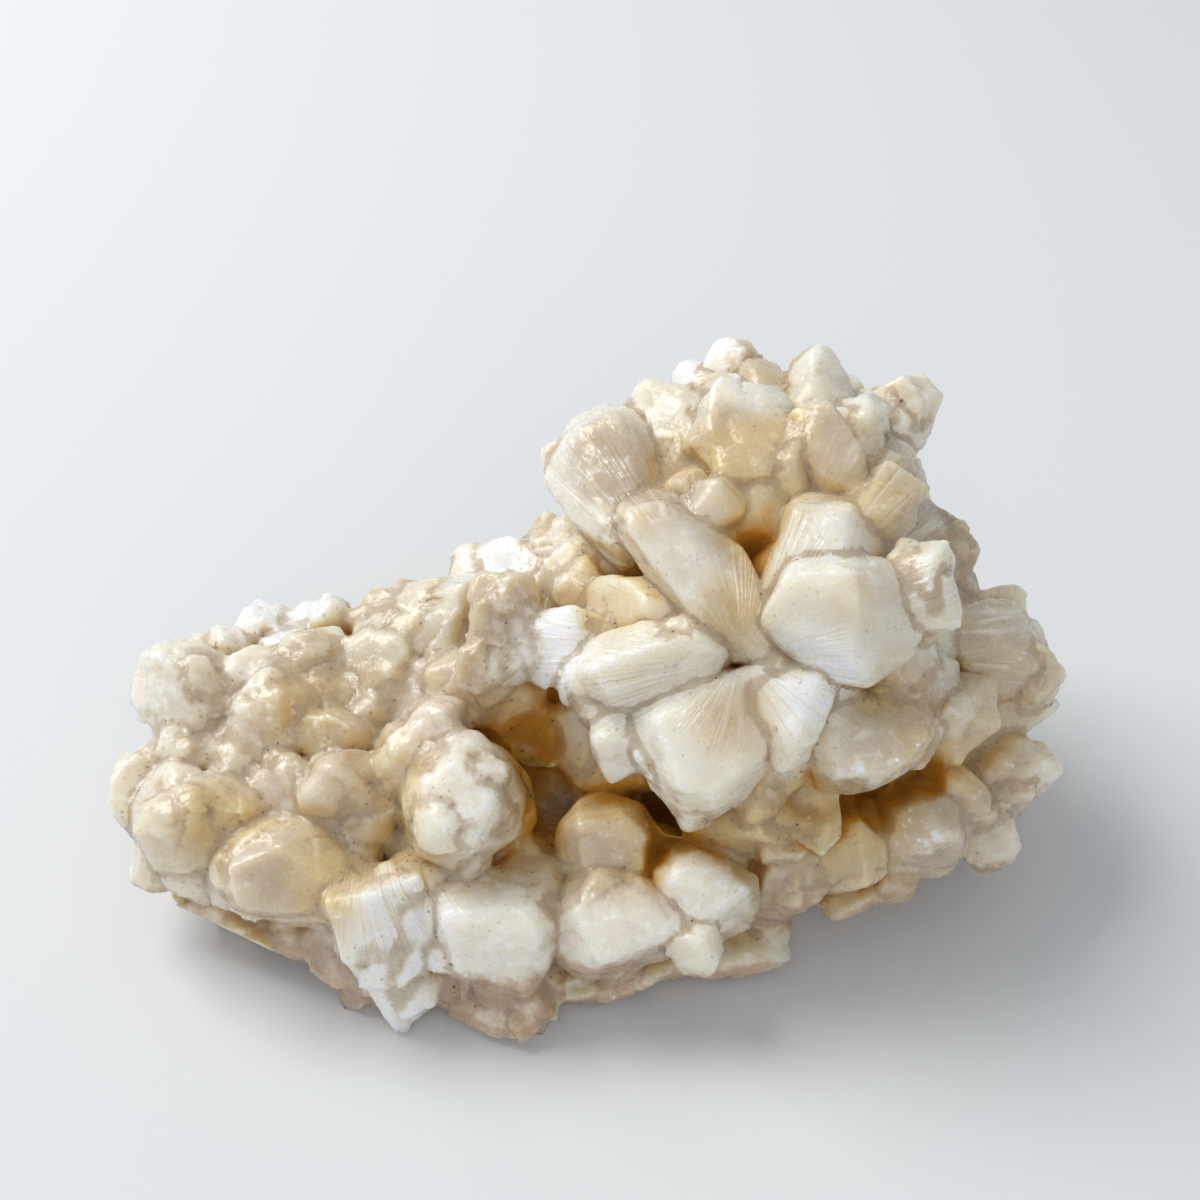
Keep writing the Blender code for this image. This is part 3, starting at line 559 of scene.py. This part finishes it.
# The tints. Each is a float attribute of the skin: how deep a point lies between crystals,
# how sharply it stands out, and how near it is to the places of each colour.
TINTS = {
    # Frost: white on the tips and ridges, partly the crystals' frosted surface, partly painted highlight.
    "frost_and_highlight": {
        "peak": (15.4, 16.7, 1.6), "back crystal": (7.3, 16.0, 2.6), "summit": (10.5, 13.9, 2.4),
        "fan rim": (-1.9, 8.4, 3.0), "petal shoulder": (3.2, 6.0, 2.2),
        "petal middle": (6.0, 3.6, 2.0), "petal ridge": (6.8, 0.2, 2.0),
        "back block": (16.2, 5.4, 1.6), "block edge": (14.8, 2.7, 2.2),
        "fibres": (14.6, -5.4, 3.2), "wedge": (-3.9, -3.4, 3.2), "bean": (-0.4, -4.8, 1.4),
        "lower petal": (3.5, -9.6, 2.4), "scaly lump": (17.8, -11.0, 3.2),
        "right fan": (27.6, -1.4, 3.0), "bright back": (-21.2, -1.4, 3.6),
        "left end": (-30.4, -6.2, 2.8), "druse": (-23.4, -5.0, 2.6),
        "rim right": (6.8, -19.7, 3.4), "rim middle": (1.6, -22.4, 3.6),
        "rim block": (-8.2, -23.4, 4.2), "rim point": (-14.4, -21.8, 3.4),
        "left ridge": (-23.8, -16.9, 2.4), "right rim": (28.8, -12.6, 3.4),
        "pink druse": (-20.4, -9.6, 4.4), "hero lump": (-9.6, -12.6, 3.4),
        "right lump": (22.4, -16.4, 2.6),
    },
    "white": {
        "fibres": (14.6, -5.4, 2.8), "wedge": (-3.9, -3.4, 3.0), "bright back": (-21.2, -1.4, 3.4),
        "back crystal": (7.3, 16.0, 2.4), "rim point": (-14.2, -21.6, 3.2),
        "rim tip": (-13.8, -25.4, 2.8), "rim end": (-13.7, -28.2, 2.0),
        "saddle back": (-7.2, 2.4, 2.6),
    },
    "striped": {
        "fan": (0.6, 6.4, 4.6), "fan left": (-2.4, 8.0, 3.0), "back block side": (12.0, 3.2, 2.8),
        "fibres": (14.6, -5.4, 3.6), "wedge": (-3.9, -3.4, 3.4), "petal side": (9.8, -0.6, 3.0),
        "shoulder": (20.4, 8.8, 4.0), "right shoulder": (22.6, 4.4, 3.6),
        "right fan": (27.4, -2.2, 4.0), "rim point": (-14.2, -22.4, 4.0),
        "lower petal top": (8.6, -6.8, 2.6), "bean": (1.6, -6.0, 3.0),
        "second shoulder": (23.4, 1.2, 3.0),
    },
    # Tan: partly the crystals' own tan, partly painted shade on the tower's right side, which faces away from the
    # light.
    "tan_and_shade": {
        "fan": (0.4, 9.6, 3.0), "summit side": (15.8, 9.4, 4.2), "front lumps": (11.0, 6.6, 4.2),
        "honey lumps": (5.0, 7.8, 3.2), "summit low": (8.6, 9.6, 3.2), "shoulder": (20.6, 8.6, 4.6), "shoulder low": (23.2, 4.4, 4.0),
        "scaly side": (22.0, -8.6, 3.6), "right": (25.4, 0.8, 4.0), "right fan": (27.6, -4.6, 4.4), "scaly lump": (19.6, -8.8, 4.0),
        "right rim": (25.6, -12.2, 5.0), "round lump": (20.6, -17.8, 4.6),
        "tan lump": (10.2, -15.6, 3.2), "rough lump": (0.6, -16.4, 3.6), "back ridge": (9.4, 15.4, 3.0),
        "saddle": (-8.2, -1.6, 5.2), "druse": (-18.4, -8.4, 5.0), "rim end": (13.0, -19.0, 4.0),
        "ridge": (-21.2, -18.6, 4.2), "ridge left": (-27.0, -14.4, 3.4),
    },
    # Honey: partly the crystals' own honey colour at their feet, partly painted shade where they meet.
    "honey_and_shade": {
        "petal foot": (9.2, -0.9, 2.4), "block middle": (17.8, -0.4, 2.6),
        "lower petal right": (8.6, -8.4, 2.6), "fan foot": (1.8, 5.4, 2.4),
        "summit lump": (9.2, 10.4, 3.0), "scaly side": (21.8, -8.8, 3.0),
        "front lumps": (10.6, 6.4, 3.0), "shoulder foot": (19.0, 6.8, 2.6),
        "scaly foot": (20.6, -7.0, 3.2),
        "arch": (1.6, -0.7, 2.8), "saddle strip": (-0.6, 1.7, 2.2), "between fans": (4.6, 8.6, 3.0),
        "groove": (12.2, 11.2, 2.2), "summit foot": (9.4, 10.2, 2.4), "strip": (-20.4, -7.1, 2.8),
        "left hollow": (-25.3, -15.0, 2.8),
        "ridge right": (-18.4, -19.4, 3.4), "petal root": (10.6, 2.7, 2.0),
        "tan lump": (9.9, -15.6, 3.4), "right tan": (27.0, -8.8, 3.6), "hollow": (16.4, -13.9, 5.0),
        "hollow left": (-5.2, -9.9, 3.6), "hollow down": (-4.8, -13.4, 3.6),
        "hollow floor": (0.6, -13.6, 3.6), "hollow front": (4.4, -17.0, 3.0),
        "druse foot": (-13.6, -11.6, 3.0),
    },
    # Amber: partly stain in the hollows, partly painted shade deep in them.
    "amber_and_shade": {
        "hollow": (16.6, -13.9, 5.2), "hollow right": (20.6, -12.6, 3.6),
        "hollow start": (14.0, -13.4, 3.6), "hollow left": (-5.2, -9.6, 4.0),
        "hollow down": (-5.0, -13.6, 3.8), "hollow floor": (0.9, -13.0, 2.4),
        "hollow front": (4.4, -16.8, 3.6), "petal root": (10.6, 3.0, 2.4),
        "under petal": (3.2, -12.6, 2.6), "right end": (23.0, -11.6, 2.6),
        "pit": (4.3, -14.6, 3.0),
    },
    "rose": {
        "purple lump": (-12.2, -7.6, 3.2), "rough lump": (0.8, -16.8, 3.6),
        "druse": (-20.4, -10.0, 5.2), "inner lumps": (-3.2, -12.8, 3.4),
        "saddle": (-9.2, -5.8, 4.2), "front lump": (-21.8, -14.0, 3.0),
        "right shade": (26.0, 3.4, 4.0),
    },
}


def write_attribute(mesh, name, values):
    attribute = mesh.attributes.new(name, "FLOAT", "POINT")
    attribute.data.foreach_set("value", np.asarray(values, np.float32))


# Growth lines run away from the heart of the tower's spray and from the top of the rim's
# point, as (right, above) in mm.
HEARTS = ((8.8, -3.4), (-15.4, -13.0))
LINE_SPREAD = 15 * MM
LINE_BREAK = 0.06

# The places deep inside that the crystals grow away from, in mm.
ROOTS = (
    (12.4, 6.7, 16), (6.4, 5.7, 13), (14.4, 5.7, 14), (11.4, 1.7, 14), (17.4, 4.7, 7),
    (0.4, 0.7, 3), (-14.6, 0.7, 2), (-16.6, 6.7, -3),
)
TONE_SEED = 3
BLEND_ROUNDS = 14
FAINT_SEAM = 0.42

mesh = cluster.data
skin = surface_of(mesh)
edges = edges_of(mesh)
normals = normals_of(mesh)
crevice = np.array([look_out(skin, v.co, v.normal, fan)[0] for v in mesh.vertices])
crevice = neighbour_mean(crevice, edges, 2)
standing = ((points - neighbour_mean(points, edges, 6)) * normals).sum(axis=1) / MM
write_attribute(mesh, "crevice", crevice)
crystals = np.array([crystal_of_face[grown.find_nearest(point)[2]] for point in points])
tones = np.random.default_rng(TONE_SEED).uniform(0, 1, (crystal_count, 2))
tower = np.clip((points[:, 0] - FUSED_LEFT_OF) / FUSED_FADE, 0, 1)


def fused(values):
    """The values as they are on the tower, and blended into each other left of it."""
    return values * tower + neighbour_mean(values, edges, BLEND_ROUNDS) * (1 - tower)


write_attribute(mesh, "tone", fused(tones[crystals, 0]))
write_attribute(mesh, "warmth", fused(tones[crystals, 1]))
seam = np.zeros(len(points))
crossing = edges[crystals[edges[:, 0]] != crystals[edges[:, 1]]]
seam[crossing.ravel()] = 1
seam = neighbour_mean(seam, edges, 1)
write_attribute(mesh, "seam", seam * FAINT_SEAM + fused(seam) * (1 - FAINT_SEAM))
write_attribute(mesh, "inner", neighbour_mean(seam, edges, 12))
# Darker brown low down and on faces turned down: partly the broken crust at the base, partly painted shade under
# the overhangs.
crust_and_shade = np.clip((7.0 * MM - points[:, 2]) / (3 * MM), 0, 1) * np.clip(1.1 - normals[:, 2], 0, 1)
crust_and_shade = np.maximum(crust_and_shade, np.clip(-normals[:, 2] * 1.6, 0, 1) * np.clip((12 * MM - points[:, 2]) / (5 * MM), 0, 1))
write_attribute(mesh, "crust_and_shade", neighbour_mean(crust_and_shade, edges, 3))
print("seam", seam.mean(), np.percentile(neighbour_mean(seam, edges, 12), (5, 25, 50, 75, 95)))
off_middle = points - np.array(VIEW_MIDDLE)
across = (off_middle @ np.array(RIGHT))[:, None] - np.array([x for x, y in HEARTS]) * MM
upward = (off_middle @ np.array(ABOVE))[:, None] - np.array([y for x, y in HEARTS]) * MM
nearest = np.hypot(across, upward).argmin(axis=1)[:, None]
across = np.take_along_axis(across, nearest, axis=1)[:, 0]
upward = np.take_along_axis(upward, nearest, axis=1)[:, 0]
reach = np.hypot(across, upward)
ways = np.column_stack((across / reach, upward / reach, reach * LINE_BREAK / LINE_SPREAD))
lines = mesh.attributes.new("lines", "FLOAT_VECTOR", "POINT")
lines.data.foreach_set("vector", (ways * LINE_SPREAD).astype(np.float32).ravel())
roots = np.array(ROOTS) * MM
reach = np.linalg.norm(points[:, None, :] - roots[None, :, :], axis=2).min(axis=1)
write_attribute(mesh, "ridge", standing)
nearest_end = np.full(crystal_count, np.inf)
farthest_end = np.zeros(crystal_count)
np.minimum.at(nearest_end, crystals, reach)
np.maximum.at(farthest_end, crystals, reach)
growth = (reach - nearest_end[crystals]) / (farthest_end - nearest_end + MM)[crystals]
write_attribute(mesh, "growth", fused(neighbour_mean(growth, edges, 1)))
print("growth", np.percentile(growth, (5, 25, 50, 75, 95)))
print("crevice", np.percentile(crevice, (5, 25, 50, 75, 95)))
print("ridge", np.percentile(standing, (5, 25, 50, 75, 95)))
for tint, places in TINTS.items():
    strength = np.zeros(len(points))
    for right, above, radius in places.values():
        place = place_seen(skin, right, above)
        if place is None:
            print("missed", tint, right, above)
            continue
        away = np.linalg.norm(points - np.array(place), axis=1) / (radius * MM)
        strength = np.maximum(strength, np.clip(1.5 - away, 0, 1))
    write_attribute(mesh, tint, strength)


# The finish. Waxy, translucent cream, honey where crystals meet and amber deep in the hollows, both partly painted
# shade, frosted white on tips and ridges, partly painted highlight, with painted glints, fine grain and a few dark
# specks.
class Socket:
    """A socket of the material's nodes. Arithmetic on it adds the Math nodes that do it."""

    def __init__(self, nodes, socket):
        self.nodes = nodes
        self.socket = socket

    def node(self, kind, settings, inputs, output=0):
        """Adds a node of this kind, with its settings and the values or links of its inputs."""
        made = self.nodes.new(kind)
        stops = settings.pop("stops", None)
        for name, value in settings.items():
            setattr(made, name, value)
        if stops:
            ramp = made.color_ramp
            while len(ramp.elements) < len(stops):
                ramp.elements.new(1)
            for element, (position, colour) in zip(ramp.elements, stops):
                element.position = position
                element.color = colour
        for key, value in inputs.items():
            if isinstance(value, Socket):
                self.nodes.id_data.links.new(value.socket, made.inputs[key])
            else:
                made.inputs[key].default_value = value
        return Socket(self.nodes, made.outputs[output])

    def maths(self, operation, first, second=0.0, clamp=False):
        settings = {"operation": operation, "use_clamp": clamp}
        return self.node("ShaderNodeMath", settings, {0: first, 1: second})

    def __add__(self, other):
        return self.maths("ADD", self, other)

    def __radd__(self, other):
        return self.maths("ADD", other, self)

    def __sub__(self, other):
        return self.maths("SUBTRACT", self, other)

    def __rsub__(self, other):
        return self.maths("SUBTRACT", other, self)

    def __mul__(self, other):
        return self.maths("MULTIPLY", self, other)

    def __rmul__(self, other):
        return self.maths("MULTIPLY", other, self)

    def __pow__(self, other):
        return self.maths("POWER", self, other)

    def clamped(self):
        return self.maths("ADD", self, 0.0, clamp=True)

    def step(self, low, high):
        """0 below `low`, 1 above `high` and a smooth rise between."""
        settings = {"interpolation_type": "SMOOTHSTEP"}
        inputs = {"Value": self, "From Min": low, "From Max": high}
        return self.node("ShaderNodeMapRange", settings, inputs)

    def mixed(self, other, share):
        """This colour mixed with another by a share."""
        settings = {"data_type": "RGBA"}
        return self.node("ShaderNodeMix", settings, {0: share, 6: self, 7: other}, output=2)


CREAM = (0.76, 0.70, 0.565, 1)
WHITE = (0.98, 0.975, 0.95, 1)
GLINT = (1.0, 1.0, 0.99, 1)
TAN = (0.57, 0.475, 0.35, 1)
HONEY = (0.70, 0.53, 0.26, 1)
AMBER = (0.60, 0.29, 0.03, 1)
ROSE = (0.70, 0.58, 0.475, 1)
CRUST_AND_SHADE_COLOUR = (0.50, 0.36, 0.25, 1)
SEAM = (0.48, 0.36, 0.22, 1)
DUST = (0.36, 0.27, 0.17, 1)
SPECK = (0.07, 0.04, 0.02, 1)

material = bpy.data.materials.new("stilbite")
material.use_nodes = True
nodes = material.node_tree.nodes
shader = nodes["Principled BSDF"]
start = Socket(nodes, None)
place = start.node("ShaderNodeTexCoord", {}, {}, output=3)
lines = start.node("ShaderNodeAttribute", {"attribute_name": "lines"}, {}, output=1)


def attribute(name):
    return start.node("ShaderNodeAttribute", {"attribute_name": name}, {}, output=2)


def noise(grain, detail=2.0, roughness=0.5, over=place):
    inputs = {"Vector": over, "Scale": 1 / grain, "Detail": detail, "Roughness": roughness}
    return start.node("ShaderNodeTexNoise", {}, inputs)


def cells(grain, output):
    """A mosaic of cells: 0 is the distance from a cell's point, 1 its colour, 2 its point."""
    inputs = {"Vector": place, "Scale": 1 / grain}
    return start.node("ShaderNodeTexVoronoi", {}, inputs, output=output)


def vector_maths(operation, first, second, output=0):
    settings = {"operation": operation}
    return start.node("ShaderNodeVectorMath", settings, {0: first, 1: second}, output=output)


def flat_faces(grain):
    """The height of a mosaic of small flat faces, each tilted its own way."""
    off_point = vector_maths("SUBTRACT", place, cells(grain, 2))
    tilt = vector_maths("SUBTRACT", cells(grain, 1), (0.5, 0.5, 0.5))
    return vector_maths("DOT_PRODUCT", off_point, tilt, output=1)


patches = noise(4.0 * MM, 3.0, 0.6)
veins = noise(1.3 * MM, 3.0, 0.6)
fine = noise(0.60 * MM, 3.0, 0.65)
sugar = noise(0.14 * MM, 2.0, 0.6)
stripes = noise(0.45 * MM, 2.0, 0.5, over=lines)
shade_of_cell = start.node("ShaderNodeSeparateColor", {}, {0: cells(0.5 * MM, 1)})
crevice = attribute("crevice")
ridge = attribute("ridge")
seam = attribute("seam")

growth = attribute("growth")
blots = noise(0.8 * MM, 2.0, 0.55)
# White on the tips, ridges and open faces, kept out of the creases: partly the frosted surface, partly painted
# highlight where light falls.
open_share = 1 - crevice.step(0.30, 0.75)
frost_and_highlight_share = attribute("frost_and_highlight") * 0.26 + growth.step(0.4, 1.0) * 0.12 + (patches - 0.5) * 0.6
frost_and_highlight_share = frost_and_highlight_share * open_share + ridge.step(0.0, 0.2) * 0.10 + (blots - 0.5) * 1.4
frost_and_highlight_share = frost_and_highlight_share.step(0.32, 0.84)
# Paler towards the crystals' tips and on open faces away from the creases: partly their paler tips, partly painted
# light. The white places are whiter still.
pale_and_lit = growth + attribute("frost_and_highlight") * 0.5 + (patches - 0.5) * 0.8 - attribute("tan_and_shade") * 0.9
pale_and_lit = pale_and_lit.step(0.2, 1.2) * open_share * 0.42
pale_and_lit = (pale_and_lit + attribute("white") * 0.75).clamped()
# Honey at the given places, in the creases, at the crystals' feet and along the seams: partly their own colour,
# partly painted shade in the creases.
honey_and_shade_share = attribute("honey_and_shade") * 0.58 + crevice.step(0.15, 0.70) * 0.70 + (patches - 0.5) * 0.7
honey_and_shade_share = honey_and_shade_share + attribute("amber_and_shade") * 0.5
honey_and_shade_share = honey_and_shade_share + attribute("warmth") * 0.30 - growth.step(0.2, 0.9) * 0.35 + seam * 0.12
honey_and_shade_share = honey_and_shade_share.step(-0.08, 0.95)
# Tan at the given places and by each crystal's tone, less towards the tips: partly real tan, partly painted shade
# on the tower's right side.
tan_and_shade_share = attribute("tan_and_shade") * 0.85 + attribute("tone") * 0.60 + (veins - 0.5) * 0.7
tan_and_shade_share = (tan_and_shade_share - growth * 0.15).step(0.10, 1.10)
# Amber at the given places and in every deep crease: partly stain, partly painted shade.
amber_and_shade_share = attribute("amber_and_shade") * (crevice.step(0.22, 0.60) + patches * 0.35)
amber_and_shade_share = (amber_and_shade_share + crevice.step(0.55, 0.90) * 0.65).step(0.10, 1.0)
rosy = (attribute("rose") * 0.8 + (veins - 0.5) * 0.8).step(0.1, 1.1)
# Crust colour low down and under faces turned down, kept off the white places: partly the broken crust, partly
# painted shade.
crust_and_shade_share = (attribute("crust_and_shade") + (veins - 0.5) * 0.9 - attribute("white") * 1.6).step(0.15, 0.75)
line = seam.step(0.25, 0.75)

colour = start.node("ShaderNodeRGB", {}, {})
colour.socket.default_value = CREAM
colour = colour.mixed(ROSE, rosy * 0.7)
colour = colour.mixed(TAN, tan_and_shade_share * 0.85)
colour = colour.mixed(WHITE, pale_and_lit)
colour = colour.mixed(HONEY, honey_and_shade_share * 0.90)
streaks = (stripes - 0.5) * attribute("striped")
colour = colour.mixed(TAN, streaks.step(0.02, 0.16) * 0.3)
colour = colour.mixed(WHITE, (streaks * -1.0).step(0.02, 0.16) * 0.4)
colour = colour.mixed(SEAM, line * (veins + 0.15))
colour = colour.mixed(CRUST_AND_SHADE_COLOUR, crust_and_shade_share * 0.85)
colour = colour.mixed(AMBER, amber_and_shade_share)
dust = (crevice * 0.7 + (veins - 0.5) * 1.6 + seam * 0.5).step(0.0, 0.75)


def specks(grain, largest, bend):
    """Round specks of many sizes, at most `largest` cells in radius."""
    size = start.node("ShaderNodeSeparateColor", {}, {0: cells(grain, 1)})
    return (size ** bend * largest - cells(grain, 0)).step(-0.02, 0.03)


colour = colour.mixed(DUST, (specks(0.5 * MM, 0.30, 2) * (0.25 + dust * 0.6)))
colour = colour.mixed(SPECK, specks(0.7 * MM, 0.18, 3) * dust)
# Frosted white on tips and ridges, partly painted highlight.
colour = colour.mixed(WHITE, frost_and_highlight_share * 0.8)
# Painted glints: small white flecks on the frosted tips, standing in for sparkle of light.
glints = specks(0.45 * MM, 0.55, 3) * (frost_and_highlight_share + growth * 0.3).step(0.1, 0.8)
colour = colour.mixed(GLINT, glints * 0.9)

relief = flat_faces(0.45 * MM) * (0.15 + frost_and_highlight_share * 0.35) + flat_faces(1.6 * MM) * 0.32
relief = relief + (fine - 0.5) * (0.08 * MM) + (sugar - 0.5) * (0.04 * MM) * (0.4 + frost_and_highlight_share)
relief = relief - seam * (0.06 * MM)
relief = relief + (stripes - 0.5) * (0.36 * MM) * (attribute("striped") + 0.04)
bump = start.node("ShaderNodeBump", {}, {"Strength": 1.0, "Distance": 1.0, "Height": relief})
links = material.node_tree.links
links.new(colour.socket, shader.inputs["Base Color"])
roughness = 0.12 + shade_of_cell * 0.24 + (fine - 0.5) * 0.20 + crevice * 0.40
links.new(roughness.socket, shader.inputs["Roughness"])
links.new(bump.socket, shader.inputs["Normal"])
shader.inputs["IOR"].default_value = 1.5
shader.inputs["Specular IOR Level"].default_value = 0.65
shader.inputs["Subsurface Weight"].default_value = 1.0
shader.inputs["Subsurface Radius"].default_value = (1.0, 0.82, 0.50)
shader.inputs["Subsurface Scale"].default_value = 2.8 * MM

mesh.materials.clear()
mesh.materials.append(material)
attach(cluster, "root")
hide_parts("stilbite_cluster")

# The studio. A plain pale floor under the cluster, and soft light from above, the back and
# the left, as from a window.
FLOOR_SIZE = 8.0

bpy.ops.mesh.primitive_plane_add(size=FLOOR_SIZE, location=(0, 0, 0))
floor = bpy.context.active_object
floor.name = "floor"
floor_material = bpy.data.materials.new("floor")
floor_material.use_nodes = True
floor_shader = floor_material.node_tree.nodes["Principled BSDF"]
floor_shader.inputs["Base Color"].default_value = (0.72, 0.735, 0.75, 1)
floor_shader.inputs["Roughness"].default_value = 0.9
floor.data.materials.append(floor_material)

world = bpy.data.worlds.new("studio")
world.use_nodes = True
world.node_tree.nodes["Background"].inputs["Color"].default_value = (0.90, 0.95, 1.0, 1)
world.node_tree.nodes["Background"].inputs["Strength"].default_value = 0.43
bpy.context.scene.world = world


def lamp(name, place, aim, size, power, colour):
    """A square soft light at `place`, turned towards `aim`."""
    data = bpy.data.lights.new(name, "AREA")
    data.size = size
    data.energy = power
    data.color = colour
    light = bpy.data.objects.new(name, data)
    light.location = place
    light.rotation_euler = (Vector(aim) - Vector(place)).to_track_quat("-Z", "Y").to_euler()
    bpy.context.scene.collection.objects.link(light)


lamp("window", (-0.34, 0.20, 0.48), (0, 0, 0.01), 0.34, 3.05, (1.0, 0.99, 0.97))
lamp("fill", (0.06, -0.55, 0.34), (0, 0, 0.01), 0.50, 0.95, (1.0, 0.97, 0.93))
bpy.context.scene.view_settings.view_transform = "Standard"
